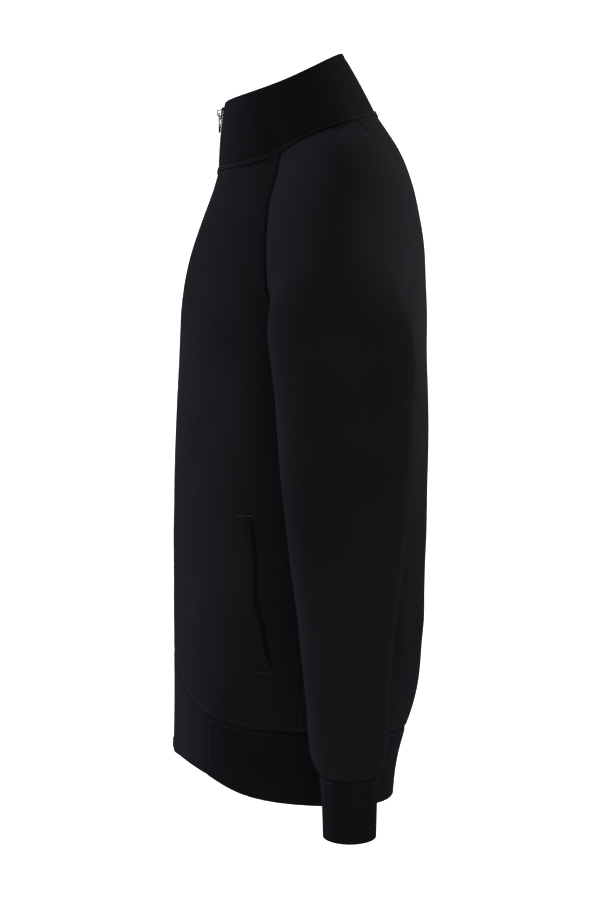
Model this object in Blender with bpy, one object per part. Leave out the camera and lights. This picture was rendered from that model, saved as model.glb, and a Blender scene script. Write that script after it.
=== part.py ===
"""A zip-up raglan sweatshirt, filled out as it is worn and empty inside.

Metres, +Z up. The front faces -Y and +X is the wearer's left. The origin lies on the plane of symmetry at
the height where the shoulders carry the neck. Every cloth piece is an outer surface, worked out from the
short tables below, that Solidify makes into a wall. Neighbouring pieces share the points of their seam.
"""

import math

import bmesh
import bpy
import numpy as np

# Cloth walls and seams
BODY_WALL = 0.0018  # one layer of fleece-backed knit
DOUBLE_WALL = 0.0026  # collar, hem and cuffs are folded double
SEAM_GAP = 0.0003
UNDERARM_GAP = 0.0012  # the sleeve stands this far outside the body at the underarm, and less above it
UNDERARM_ROWS = 3
ON_PANEL = 0.0003  # what lies on a panel stands this far off it
PATCH_OFF = 0.0005  # a patch over a curved panel needs a little more

# Grids
FRONT_COLUMNS = 12
BACK_COLUMNS = 10  # from the back raglan seam to the centre
SIDE_ROWS = 12  # hem seam to underarm
RAGLAN_ROWS = 14  # underarm to neck
SLEEVE_COLUMNS = 20
HEM_ROWS = 3
COLLAR_ROWS = 3
CUFF_ROWS = 3

# Roundness of the horizontal sections: 2 is an ellipse, more is boxier
FRONT_POWER = 2.2
BACK_POWER = 2.4

# Horizontal sections of the body, from the collar down to the hem
BODY_COLUMNS = ("z", "front_half", "back_half", "front_y", "back_y", "mid_y")
BODY_SECTIONS = (
    (0.0350, 0.0600, 0.0600, -0.0730, 0.0750, 0.000),
    (0.0200, 0.0660, 0.0720, -0.0760, 0.0840, 0.004),
    (0.0000, 0.0750, 0.1040, -0.0785, 0.0980, 0.012),
    (-0.016, 0.0840, 0.1285, -0.0800, 0.1060, 0.018),
    (-0.030, 0.0920, 0.1470, -0.0842, 0.1110, 0.021),
    (-0.046, 0.1035, 0.1640, -0.0885, 0.1160, 0.024),
    (-0.073, 0.1260, 0.1850, -0.0987, 0.1222, 0.026),
    (-0.105, 0.1510, 0.1960, -0.1095, 0.1270, 0.026),
    (-0.140, 0.1740, 0.1995, -0.1182, 0.1287, 0.024),
    (-0.170, 0.1890, 0.1990, -0.1220, 0.1296, 0.022),
    (-0.205, 0.1985, 0.1985, -0.1233, 0.1305, 0.020),
    (-0.250, 0.2015, 0.2015, -0.1258, 0.1312, 0.016),
    (-0.300, 0.2030, 0.2030, -0.1276, 0.1318, 0.012),
    (-0.360, 0.2030, 0.2030, -0.1296, 0.1308, 0.008),
    (-0.430, 0.2025, 0.2025, -0.1298, 0.1288, 0.004),
    (-0.500, 0.2005, 0.2005, -0.1293, 0.1250, 0.000),
    (-0.545, 0.1980, 0.1980, -0.1291, 0.1218, -0.002),
    (-0.570, 0.1950, 0.1950, -0.1291, 0.1180, -0.003),
    (-0.583, 0.1905, 0.1905, -0.1292, 0.1140, -0.004),
    (-0.594, 0.1870, 0.1870, -0.1293, 0.1080, -0.005),
    (-0.620, 0.1845, 0.1845, -0.1298, 0.1015, -0.006),
    (-0.645, 0.1825, 0.1825, -0.1300, 0.0970, -0.006),
    (-0.675, 0.1810, 0.1810, -0.1300, 0.0950, -0.006),
)

# Hem: heights of its top seam and its edge, round from the zip (0) to the centre back (180)
HEM_COLUMNS = ("angle", "seam_z", "edge_z")
HEM_LINES = (
    (0, -0.5160, -0.6195),
    (15, -0.5200, -0.6185),
    (23, -0.5350, -0.6180),
    (30, -0.5505, -0.6200),
    (40, -0.5625, -0.6243),
    (48, -0.5705, -0.6290),
    (68, -0.5795, -0.6447),
    (90, -0.5830, -0.6530),
    (110, -0.5860, -0.6560),
    (147, -0.5910, -0.6600),
    (180, -0.5940, -0.6610),
)
HEM_END_ANGLE = 48  # the plain front end of the hem stops here
HEM_END_COLUMN = 6  # and this column of the front comes down to it

# Heights of the panels' rows at the centre front and the centre back
FRONT_NECK_Z = -0.0277
FRONT_UNDERARM_Z = -0.1900
BACK_NECK_Z = 0.0300
BACK_UNDERARM_Z = -0.2000
NECK_MID_Y = -0.0015

# Raglan seams and shoulder line, from the neck (0) to the underarm (1)
RAGLAN_COLUMNS = ("t", "front_y", "front_z", "back_y", "back_z", "top_x", "top_y", "top_z")
RAGLAN = (
    (0.00, -0.0195, -0.0160, 0.0545, 0.0190, 0.0850, 0.0160, 0.0025),
    (0.12, -0.0225, -0.0370, 0.0720, -0.0005, 0.1050, 0.0210, -0.0030),
    (0.25, -0.0265, -0.0590, 0.0880, -0.0210, 0.1300, 0.0270, -0.0115),
    (0.40, -0.0310, -0.0830, 0.0985, -0.0490, 0.1640, 0.0330, -0.0275),
    (0.55, -0.0328, -0.1100, 0.1060, -0.0820, 0.2010, 0.0370, -0.0540),
    (0.70, -0.0330, -0.1400, 0.1085, -0.1200, 0.2340, 0.0395, -0.0910),
    (0.83, -0.0300, -0.1660, 0.1060, -0.1560, 0.2600, 0.0400, -0.1320),
    (0.93, -0.0160, -0.1880, 0.0900, -0.1850, 0.2795, 0.0400, -0.1660),
    (1.00, 0.0350, -0.2050, 0.0350, -0.2050, 0.2915, 0.0400, -0.1960),
)
CAP_RADIUS = 0.0705  # fore-and-aft half width of the sleeve above the underarm
NECK_CAP_POWER = 1.7  # the sleeve's arch is a flat curve at the neck and round by CAP_ROUND_FROM
CAP_ROUND_FROM = 0.45

# Rings of the sleeve below the underarm; tilt is how far the outer side hangs below the inner one
SLEEVE_COLUMN_NAMES = ("z", "mid_x", "mid_y", "half_x", "half_y", "tilt")
SLEEVE_SECTIONS = (
    (-0.2050, 0.2460, 0.0385, 0.0470, 0.0700, -5.0),
    (-0.2280, 0.2500, 0.0392, 0.0485, 0.0690, -4.0),
    (-0.2500, 0.2535, 0.0400, 0.0490, 0.0678, -3.0),
    (-0.2850, 0.2580, 0.0411, 0.0488, 0.0657, -1.0),
    (-0.3110, 0.2613, 0.0416, 0.0480, 0.0635, 0.0),
    (-0.3550, 0.2645, 0.0425, 0.0452, 0.0602, 2.0),
    (-0.3890, 0.2665, 0.0432, 0.0432, 0.0568, 4.0),
    (-0.4260, 0.2675, 0.0435, 0.0412, 0.0526, 6.0),
    (-0.4530, 0.2673, 0.0437, 0.0392, 0.0488, 7.0),
    (-0.4830, 0.2663, 0.0431, 0.0374, 0.0445, 8.0),
    (-0.5160, 0.2640, 0.0434, 0.0358, 0.0424, 9.0),
    (-0.5450, 0.2615, 0.0438, 0.0348, 0.0399, 9.5),
    (-0.5700, 0.2587, 0.0441, 0.0344, 0.0380, 10.0),
    (-0.5930, 0.2557, 0.0449, 0.0340, 0.0365, 10.0),
    (-0.6030, 0.2543, 0.0452, 0.0328, 0.0348, 10.0),
    (-0.6090, 0.2534, 0.0454, 0.0300, 0.0308, 10.0),
    (-0.6125, 0.2528, 0.0455, 0.0286, 0.0288, 10.0),
    (-0.6370, 0.2492, 0.0456, 0.0270, 0.0264, 10.0),
    (-0.6725, 0.2440, 0.0460, 0.0262, 0.0254, 10.0),
)
SLEEVE_SEAM_Z = -0.6125
CUFF_EDGE_Z = -0.6725
SLEEVE_RING_HEIGHTS = (
    -0.222, -0.242, -0.264, -0.288, -0.314, -0.342, -0.370, -0.398, -0.426, -0.454,
    -0.480, -0.506, -0.532, -0.557, -0.579, -0.594, -0.604, SLEEVE_SEAM_Z,
)

# Collar: the ring of its top edge, and how far its side bows out between seam and top
COLLAR_TOP = {"half_x": 0.0640, "half_y": 0.0612, "mid_y": -0.0168, "front_z": 0.0424, "back_z": 0.0935}
COLLAR_BOW = 0.0015
COLLAR_CORNER_DROP = 0.0035  # the top edge rounds down to the zip
COLLAR_CORNER_REACH = 0.0040
COLLAR_SIDE_DIP = 0.0100  # and sags at the sides of the neck
NECK_BAND_HALF = 0.0028
NECK_BAND_THICK = 0.0012

# Zip
FABRIC_EDGE_X = 0.0055  # each front stops this far from the centre
CHAIN_HALF = 0.0028
CHAIN_PROUD = 0.0008
CHAIN_DEPTH = 0.0034
TAPE_INNER_X = 0.0002
TAPE_OUTER_X = 0.0150
TAPE_THICK = 0.0008
ZIP_ROWS = 40
ZIP_TOP_Z = 0.0359
ZIP_BOX_HEIGHT = 0.0100
ZIP_BOX_HALF = 0.0042
ZIP_BOX_PROUD = 0.0012
NEAR_ZIP = 4  # columns of a grid that tell where the fabric lies beside the zip

# Slider and pull tab
SLIDER = {"top": 0.0386, "bottom": 0.0262, "half_x": 0.0043, "plate": 0.0015, "corner": 0.0010}
BAIL = {"half_x": 0.0008, "top": 0.0370, "bottom": 0.0290, "out": 0.0044, "thick": 0.0012, "slope": 0.0012}
PIVOT_OUT = 0.0019  # the tab's pivot in front of the slider's face
PIVOT_Z = 0.0325
TAB = {"half_x": 0.0026, "thick": 0.0014}
# Half of its outline, as a share of half_x and a height from the pivot
TAB_OUTLINE = (
    (0.40, -0.0200), (0.72, -0.0190), (0.72, -0.0095), (1.0, -0.0065), (1.0, 0.0001), (0.75, 0.0009),
)
TAB_WINDOW = {"half_x": 0.0013, "top": -0.0008, "bottom": -0.0057}

# Side pocket: the mouth's line on the front, as the angle round the body in degrees and the height
POCKET_COLUMNS = ("angle", "z")
POCKET_MOUTH = (
    (68.5, -0.378),
    (71.0, -0.420),
    (72.0, -0.460),
    (75.0, -0.481),
    (77.0, -0.504),
    (79.7, -0.521),
)
POCKET_WELT_WIDTH = 0.0120
POCKET_WELT_THICK = 0.0014
POCKET_STEPS = 14
# The scrap of cloth beside the zip's top end narrows to the foot's share of its width
GUARD = {"width": 0.0050, "foot": 0.35, "top": 0.0375, "bottom": 0.0120, "thick": 0.0010}
GUARD_STEPS = 5

# The largest folds: soft ridges (+) and troughs (-) along a line on the wearer's left, mirrored on the right
FOLD_COLUMNS = ("start", "end", "reach", "height")
BODY_FOLDS = (
    ((0.176, -0.030, -0.215), (0.110, -0.105, -0.270), 0.022, -0.0030),
    ((0.186, 0.080, -0.230), (0.120, 0.120, -0.300), 0.024, -0.0030),
    ((0.085, 0.110, -0.530), (0.030, 0.122, -0.555), 0.020, 0.0022),
    ((0.165, 0.070, -0.520), (0.140, 0.092, -0.565), 0.020, 0.0025),
)
SLEEVE_FOLDS = (
    ((0.232, -0.025, -0.215), (0.262, -0.020, -0.300), 0.018, -0.0022),
    ((0.262, 0.092, -0.410), (0.305, 0.060, -0.440), 0.016, -0.0026),
    ((0.240, 0.080, -0.455), (0.290, 0.070, -0.475), 0.014, -0.0024),
    ((0.268, 0.002, -0.560), (0.292, 0.040, -0.575), 0.014, -0.0020),
)


def clear_scene():
    for o in list(bpy.data.objects):
        bpy.data.objects.remove(o, do_unlink=True)


def linear(value):
    return value / 12.92 if value <= 0.04045 else ((value + 0.055) / 1.055) ** 2.4


def material(name, hex_colour, roughness, metallic=0.0):
    made = bpy.data.materials.new(name)
    made.use_nodes = True
    rgb = [linear(int(hex_colour[i : i + 2], 16) / 255) for i in (0, 2, 4)]
    shader = made.node_tree.nodes["Principled BSDF"]
    shader.inputs["Base Color"].default_value = (*rgb, 1.0)
    shader.inputs["Roughness"].default_value = roughness
    shader.inputs["Metallic"].default_value = metallic
    return made


def smooth(xs, ys, x):
    """A monotone cubic through (xs, ys), xs rising."""
    xs, ys, x = np.asarray(xs, float), np.asarray(ys, float), np.asarray(x, float)
    step, rise = np.diff(xs), np.diff(ys) / np.diff(xs)
    slope = np.concatenate([[rise[0]], (rise[1:] + rise[:-1]) / 2, [rise[-1]]])
    turning = rise[1:] * rise[:-1] <= 0
    gentlest = np.minimum(abs(rise[1:]), abs(rise[:-1]))
    slope[1:-1] = np.where(turning, 0, np.sign(slope[1:-1]) * np.minimum(abs(slope[1:-1]), 3 * gentlest))
    i = np.clip(np.searchsorted(xs, x) - 1, 0, len(step) - 1)
    s = np.clip((x - xs[i]) / step[i], 0, 1)
    return (
        (2 * s**3 - 3 * s**2 + 1) * ys[i]
        + (s**3 - 2 * s**2 + s) * step[i] * slope[i]
        + (3 * s**2 - 2 * s**3) * ys[i + 1]
        + (s**3 - s**2) * step[i] * slope[i + 1]
    )


def curve_of(rows, names, key, value):
    """A smooth function of a table's column `key` that gives its column `value`."""
    pairs = sorted((row[names.index(key)], row[names.index(value)]) for row in rows)
    return lambda x: smooth([p[0] for p in pairs], [p[1] for p in pairs], x)


body = {name: curve_of(BODY_SECTIONS, BODY_COLUMNS, "z", name) for name in BODY_COLUMNS[1:]}
raglan = {name: curve_of(RAGLAN, RAGLAN_COLUMNS, "t", name) for name in RAGLAN_COLUMNS[1:]}
sleeve_ring = {n: curve_of(SLEEVE_SECTIONS, SLEEVE_COLUMN_NAMES, "z", n) for n in SLEEVE_COLUMN_NAMES[1:]}
hem_seam_z = curve_of(HEM_LINES, HEM_COLUMNS, "angle", "seam_z")
hem_edge_z = curve_of(HEM_LINES, HEM_COLUMNS, "angle", "edge_z")


def on_body(angle, z):
    """The point of the body's surface at this angle round from the centre front, in degrees, and height."""
    angle, z = np.broadcast_arrays(np.radians(angle), z)
    front = angle <= math.pi / 2
    power = np.where(front, FRONT_POWER, BACK_POWER)
    half = np.where(front, body["front_half"](z), body["back_half"](z))
    reach = np.where(front, body["front_y"](z), body["back_y"](z)) - body["mid_y"](z)
    x = half * abs(np.sin(angle)) ** (2 / power)
    y = body["mid_y"](z) + reach * abs(np.cos(angle)) ** (2 / power)
    return np.stack([x, y, z + 0 * x], axis=-1)


def angle_at(y, z):
    """The angle at which the body's surface passes through y at height z."""
    front = y < body["mid_y"](z)
    reach = np.where(front, body["front_y"](z), body["back_y"](z)) - body["mid_y"](z)
    share = np.clip((y - body["mid_y"](z)) / reach, 0, 1)
    turn = np.degrees(np.arccos(share ** (np.where(front, FRONT_POWER, BACK_POWER) / 2)))
    return np.where(front, turn, 180 - turn)


def folded(points, folds):
    """The points moved in or out of the surface by the folds near them."""
    moved, normals = points.copy(), grid_normals(points)
    for start, end, reach, height in folds:
        a, b = np.array(start), np.array(end)
        along = np.clip(((points - a) @ (b - a)) / ((b - a) @ (b - a)), 0, 1)
        off = np.linalg.norm(points - a - along[..., None] * (b - a), axis=-1)
        moved += normals * (height * np.exp(-((off / reach) ** 2)))[..., None]
    return moved


def grid_normals(points):
    """Unit normals of a grid of points, as the cross product of its two directions."""
    down, across = np.gradient(points, axis=0), np.gradient(points, axis=1)
    normals = np.cross(down, across)
    return normals / np.maximum(np.linalg.norm(normals, axis=-1, keepdims=True), 1e-12)


def inset(points, first_row=0.0, last_row=0.0, first_column=0.0, last_column=0.0):
    """The grid with its edges drawn in along the surface by these lengths."""
    p = points.copy()

    def pull(edge, inner, length):
        way = inner - edge
        return edge + way / np.linalg.norm(way, axis=-1, keepdims=True) * length

    if first_row:
        p[0] = pull(p[0], p[1], first_row)
    if last_row:
        p[-1] = pull(p[-1], p[-2], last_row)
    if first_column:
        p[:, 0] = pull(p[:, 0], p[:, 1], first_column)
    if last_column:
        p[:, -1] = pull(p[:, -1], p[:, -2], last_column)
    return p


def mirrored(points):
    """The grid on the wearer's right."""
    return (points * (-1, 1, 1))[:, ::-1]


def new_object(name, mesh, finish):
    made = bpy.data.objects.new(name, mesh)
    bpy.context.scene.collection.objects.link(made)
    mesh.materials.append(finish)
    return made


def cloth(name, points, wall, finish, closed_from=None):
    """A wall under a grid of outer points. From row closed_from on, the last column is the first one."""
    bm = bmesh.new()
    rows, columns = points.shape[:2]
    closed_from = rows if closed_from is None else closed_from
    grid = []
    for r in range(rows):
        line = [bm.verts.new(points[r, c]) for c in range(columns - (r >= closed_from))]
        grid.append(line + line[:1] if r >= closed_from else line)
    for r in range(rows - 1):
        for c in range(columns - 1):
            bm.faces.new((grid[r][c], grid[r + 1][c], grid[r + 1][c + 1], grid[r][c + 1]))
    mesh = bpy.data.meshes.new(name)
    bm.to_mesh(mesh)
    bm.free()
    mesh.shade_smooth()
    made = new_object(name, mesh, finish)
    solid = made.modifiers.new("wall", "SOLIDIFY")
    solid.thickness = wall
    solid.offset = -1.0
    solid.use_even_offset = True
    return made


def closed_strip(name, sections, finish):
    """A bar through closed cross-sections, each a ring of points, with flat ends."""
    bm = bmesh.new()
    rings = [[bm.verts.new(p) for p in section] for section in sections]
    count = len(rings[0])
    for a, b in zip(rings, rings[1:]):
        for i in range(count):
            j = (i + 1) % count
            bm.faces.new((a[i], a[j], b[j], b[i]))
    bm.faces.new(rings[0][::-1])
    bm.faces.new(rings[-1])
    bmesh.ops.recalc_face_normals(bm, faces=bm.faces)
    mesh = bpy.data.meshes.new(name)
    bm.to_mesh(mesh)
    bm.free()
    return new_object(name, mesh, finish)


# --- surfaces shared by the pieces ---


def raglan_points():
    """Front seam, back seam and shoulder line from the neck to the underarm, one point for each row."""
    t = np.linspace(0, 1, RAGLAN_ROWS + 1)
    front = on_body(angle_at(raglan["front_y"](t), raglan["front_z"](t)), raglan["front_z"](t))
    back = on_body(angle_at(raglan["back_y"](t), raglan["back_z"](t)), raglan["back_z"](t))
    front[-1] = back[-1] = (front[-1] + back[-1]) / 2
    top = np.stack([raglan[n](t) for n in ("top_x", "top_y", "top_z")], axis=-1)
    return front, back, top


def front_grid(seam):
    """Rows from the neck down to the hem seam, columns from the zip to the raglan or side seam."""
    share = np.linspace(0, 1, FRONT_COLUMNS + 1)
    rows = []
    neck_z, underarm_z = FRONT_NECK_Z, FRONT_UNDERARM_Z
    for i, end in enumerate(seam):
        down = i / RAGLAN_ROWS
        end_angle = angle_at(end[1], end[2])
        zip_z = neck_z + (underarm_z - neck_z) * down**1.1
        power = 2 + 3 * (1 - down) ** 3
        rows.append(on_body(end_angle * share, zip_z + (end[2] - zip_z) * share**power))
        rows[-1][-1] = end
    under_angle, under_row = angle_at(seam[-1][1], seam[-1][2]), rows[-1]
    for i in range(1, SIDE_ROWS + 1):
        down = i / SIDE_ROWS
        angles = (under_angle + (90 - under_angle) * down) * hem_shares(share, down)
        heights = under_row[:, 2] + (hem_seam_z(90 * hem_shares(share, 1)) - under_row[:, 2]) * down
        rows.append(on_body(angles, heights))
    return np.array(rows)


def hem_shares(share, down):
    """Column shares that slide on the way down, so that one column meets the end of the hem's front piece."""
    column = HEM_END_COLUMN / FRONT_COLUMNS
    target = HEM_END_ANGLE / 90
    slid = np.where(share < column, share / column * target, 1 - (1 - share) / (1 - column) * (1 - target))
    return share + (slid - share) * down


def back_grid(seam):
    """Rows from the neck down to the hem seam, columns from the left raglan or side seam to the centre."""
    share = np.linspace(0, 1, BACK_COLUMNS + 1)
    rows = []
    for i, end in enumerate(seam):
        down = i / RAGLAN_ROWS
        end_angle = angle_at(end[1], end[2])
        centre_z = BACK_NECK_Z + (BACK_UNDERARM_Z - BACK_NECK_Z) * down
        angles = end_angle + (180 - end_angle) * share
        rows.append(on_body(angles, centre_z + (end[2] - centre_z) * (1 - share) ** 2))
        rows[-1][0] = end
    under_angle, under_row = angle_at(seam[-1][1], seam[-1][2]), rows[-1]
    for i in range(1, SIDE_ROWS + 1):
        down = i / SIDE_ROWS
        start = under_angle + (90 - under_angle) * down
        heights = under_row[:, 2] + (hem_seam_z(90 + 90 * share) - under_row[:, 2]) * down
        rows.append(on_body(start + (180 - start) * share, heights))
    return np.array(rows)


def sleeve_grid(front, back, top):
    """Arches over the shoulder from seam to seam, then closed rings down to the cuff seam."""
    rows = []
    turn = np.linspace(0, 1, SLEEVE_COLUMNS + 1)
    for i in range(RAGLAN_ROWS + 1):
        t = i / RAGLAN_ROWS
        chord = (back[i] - front[i]) / 2
        half = np.linalg.norm(chord)
        fore_aft = chord / half if half > 1e-6 else np.array([0.0, 1.0, 0.0])
        fore_aft = fore_aft + (np.array([0.0, 1.0, 0.0]) - fore_aft) * smoothstep(t, 0.80, 1.0)
        radius = max(half, CAP_RADIUS * smoothstep(t, 0.45, 0.8))
        past = math.acos(min(1.0, half / radius))
        middle = (front[i] + back[i]) / 2
        outward = (top[i] - middle) / (1 + math.sin(past))
        centre = top[i] - outward
        angle = -past + (math.pi + 2 * past) * turn
        power = NECK_CAP_POWER + (1 - NECK_CAP_POWER) * smoothstep(t, 0.0, CAP_ROUND_FROM)
        rise = np.sign(np.sin(angle)) * abs(np.sin(angle)) ** power
        row = centre - radius * np.cos(angle)[:, None] * fore_aft + outward * rise[:, None]
        row += (front[i] - row[0]) * ((1 - turn) ** 3)[:, None]
        row += (back[i] - row[-1]) * (turn**3)[:, None]
        rows.append(row)
    for z in SLEEVE_RING_HEIGHTS:
        rows.append(ring_at(z, turn))
    return np.array(rows)


def smoothstep(x, low, high):
    s = min(1.0, max(0.0, (x - low) / (high - low)))
    return s * s * (3 - 2 * s)


def ring_at(z, turn):
    """The sleeve's or cuff's ring at this height; it starts and ends on the side next to the body."""
    angle = 2 * math.pi * turn - math.pi / 2
    out = sleeve_ring["half_x"](z) * np.sin(angle)
    x = sleeve_ring["mid_x"](z) + out
    y = sleeve_ring["mid_y"](z) - sleeve_ring["half_y"](z) * np.cos(angle)
    return np.stack([x, y, z - out * math.tan(math.radians(float(sleeve_ring["tilt"](z))))], axis=-1)


def hem_grid(angles):
    """Rows from the hem's top seam to its edge, at these angles round the body."""
    top, edge = hem_seam_z(angles), hem_edge_z(angles)
    return np.array([on_body(angles, top + (edge - top) * r / HEM_ROWS) for r in range(HEM_ROWS + 1)])


def front_hem_angles():
    return 90 * hem_shares(np.linspace(0, 1, FRONT_COLUMNS + 1), 1)


def hem_end_grid():
    return zip_edge(hem_grid(front_hem_angles()[: HEM_END_COLUMN + 1]))


def collar_grid(neck):
    """Rows from the top edge down to the neck seam, along the seam's points from the zip to the back."""
    c = COLLAR_TOP
    bearing = np.arctan2(neck[:, 0], -(neck[:, 1] - NECK_MID_Y))
    y = c["mid_y"] - c["half_y"] * np.cos(bearing)
    slope = (c["back_z"] - c["front_z"]) / (2 * c["half_y"])
    from_zip = (neck[:, 0] - FABRIC_EDGE_X) / COLLAR_CORNER_REACH
    corner = COLLAR_CORNER_DROP * np.exp(-from_zip) * (neck[:, 1] < 0)
    x = np.maximum(c["half_x"] * np.sin(bearing), 0)
    dip = COLLAR_SIDE_DIP * np.sin(bearing) ** 2
    z = c["front_z"] + slope * (y - c["mid_y"] + c["half_y"]) - corner - dip
    top = np.stack([x, y, z], axis=-1)
    outward = np.stack([np.sin(bearing), -np.cos(bearing), 0 * bearing], axis=-1)
    rows = []
    for r in range(COLLAR_ROWS + 1):
        s = r / COLLAR_ROWS
        rows.append(top + (neck - top) * s + outward * COLLAR_BOW * math.sin(math.pi * s))
    grid = np.array(rows)
    grid[:, 0, 0] = FABRIC_EDGE_X
    return grid


def zip_edge(points):
    """The grid with its first column, at the zip, set on the edge of the fabric."""
    p = points.copy()
    p[:, 0, 0] = FABRIC_EDGE_X
    share = FABRIC_EDGE_X / points[:, 1, 0]
    p[:, 0, 1] = points[:, 0, 1] + (points[:, 1, 1] - points[:, 0, 1]) * share**2
    return p


# --- pieces ---


def add_pair(name, grid, wall, finish, closed_from=None):
    cloth(f"{name}_left", grid, wall, finish, closed_from)
    cloth(f"{name}_right", mirrored(grid), wall, finish, closed_from)


def add_body(front, back, finish):
    g = SEAM_GAP
    add_pair("front", inset(front, g, g, last_column=g), BODY_WALL, finish)
    whole = np.concatenate([back[:, :-1], mirrored(back)], axis=1)
    cloth("back", inset(whole, g, g, g, g), BODY_WALL, finish)


def add_sleeves(grid, finish):
    """The sleeve is drawn in from its seams; its rings, whose ends meet, are not."""
    drawn = inset(grid, SEAM_GAP, SEAM_GAP)
    arches = slice(0, RAGLAN_ROWS)
    drawn[arches] = inset(drawn, first_column=SEAM_GAP, last_column=SEAM_GAP)[arches]
    for up in range(UNDERARM_ROWS):
        drawn[RAGLAN_ROWS - up, [0, -1], 0] += UNDERARM_GAP * (1 - up / UNDERARM_ROWS)
    add_pair("sleeve", drawn, BODY_WALL, finish, closed_from=RAGLAN_ROWS)


def add_hem(end, finish, end_finish):
    """A plain front end on each side of the zip, and a band from one end to the other round the back."""
    add_pair("hem_end", inset(end, SEAM_GAP, last_column=SEAM_GAP), DOUBLE_WALL, end_finish)
    back_angles = np.linspace(90, 180, BACK_COLUMNS + 1)
    half = hem_grid(np.concatenate([front_hem_angles()[HEM_END_COLUMN:], back_angles[1:]]))
    whole = np.concatenate([half[:, :-1], mirrored(half)], axis=1)
    cloth("hem_band", inset(whole, SEAM_GAP, 0, SEAM_GAP, SEAM_GAP), DOUBLE_WALL, finish)


def add_cuffs(finish):
    turn = np.linspace(0, 1, SLEEVE_COLUMNS + 1)
    heights = np.linspace(SLEEVE_SEAM_Z, CUFF_EDGE_Z, CUFF_ROWS + 1)
    grid = inset(np.array([ring_at(z, turn) for z in heights]), first_row=SEAM_GAP)
    add_pair("cuff", grid, DOUBLE_WALL, finish, closed_from=0)


def add_collar(neck, finish):
    half = collar_grid(neck)
    whole = np.concatenate([half[:, :-1], mirrored(half)], axis=1)
    cloth("collar", inset(whole, last_row=SEAM_GAP), DOUBLE_WALL, finish)


def add_neck_band(neck, collar, below, finish):
    """A flat tape laid over the neck seam, from a point on the collar to one on the body."""
    seam = np.concatenate([neck[:-1], mirrored(neck[None])[0]])
    up = np.concatenate([collar[:-1], mirrored(collar[None])[0]]) - seam
    down = np.concatenate([below[:-1], mirrored(below[None])[0]]) - seam
    up /= np.linalg.norm(up, axis=-1, keepdims=True)
    down /= np.linalg.norm(down, axis=-1, keepdims=True)
    along = np.gradient(seam, axis=0)
    out_up, out_down = np.cross(along, up), np.cross(down, along)
    out_up /= np.linalg.norm(out_up, axis=-1, keepdims=True)
    out_down /= np.linalg.norm(out_down, axis=-1, keepdims=True)
    sections = []
    low, high = ON_PANEL + 0.0001, ON_PANEL + NECK_BAND_THICK
    for p, u, d, nu, nd in zip(seam, up, down, out_up, out_down):
        top, bottom = p + u * NECK_BAND_HALF, p + d * NECK_BAND_HALF
        sections.append((top + nu * low, top + nu * high, bottom + nd * high, bottom + nd * low))
    closed_strip("neck_band", sections, finish)


# --- the zip ---


def front_line(grids, x):
    """A function of height that gives the y of the fabric this far from the centre, from collar to hem."""
    line = []
    for row in np.concatenate([grid[:, :NEAR_ZIP] for grid in grids]):
        line.append([np.interp(x, row[:, 0], row[:, i]) for i in (2, 1)])
    line = sorted(line)
    return lambda z: np.interp(z, [p[0] for p in line], [p[1] for p in line])


def bar_along_zip(name, edges, depths, heights, finish):
    """A bar down the zip. Each edge is its x and its line; depths are measured back from the lines."""
    (left_x, left), (right_x, right) = edges
    near, far = depths
    sections = []
    for z in heights:
        a, b = float(left(z)), float(right(z))
        front = ((left_x, a + near, z), (right_x, b + near, z))
        sections.append((*front, (right_x, b + far, z), (left_x, a + far, z)))
    closed_strip(name, sections, finish)


def add_zip(line, outer_line, tape, metal):
    bottom = float(hem_edge_z(0))
    box_top = bottom + ZIP_BOX_HEIGHT
    heights = np.linspace(ZIP_TOP_Z, box_top + SEAM_GAP, ZIP_ROWS + 1)
    chain_back = CHAIN_DEPTH - CHAIN_PROUD
    chain = ((-CHAIN_HALF, line), (CHAIN_HALF, line))
    bar_along_zip("zip_chain", chain, (-CHAIN_PROUD, chain_back), heights, metal)
    tape_depths = (chain_back + ON_PANEL, chain_back + ON_PANEL + TAPE_THICK)
    inner, outer = (TAPE_INNER_X, line), (TAPE_OUTER_X, outer_line)
    bar_along_zip("zip_tape_left", (inner, outer), tape_depths, heights, tape)
    right = [(-x, edge_line) for x, edge_line in (outer, inner)]
    bar_along_zip("zip_tape_right", right, tape_depths, heights, tape)
    box = ((-ZIP_BOX_HALF, line), (ZIP_BOX_HALF, line))
    bar_along_zip("zip_box", box, (-ZIP_BOX_PROUD, CHAIN_DEPTH), (box_top, bottom), metal)


def extruded(name, outline, axis, low, high, finish):
    """An outline of (a, b) points, in the two axes other than `axis`, extruded from low to high."""
    def place(a, b, c):
        return (c, a, b) if axis == "X" else (a, c, b)

    return closed_strip(name, [[place(a, b, c) for a, b in outline] for c in (low, high)], finish)


def combine(target, other, operation):
    """The target united with the other object, or cut by it; the other object is used up."""
    bpy.context.view_layer.update()
    change = target.modifiers.new(operation.lower(), "BOOLEAN")
    change.operation = operation
    change.solver = "EXACT"
    change.object = other
    made = bpy.data.meshes.new_from_object(target.evaluated_get(bpy.context.evaluated_depsgraph_get()))
    target.modifiers.clear()
    target.data = made
    bpy.data.objects.remove(other, do_unlink=True)


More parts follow.
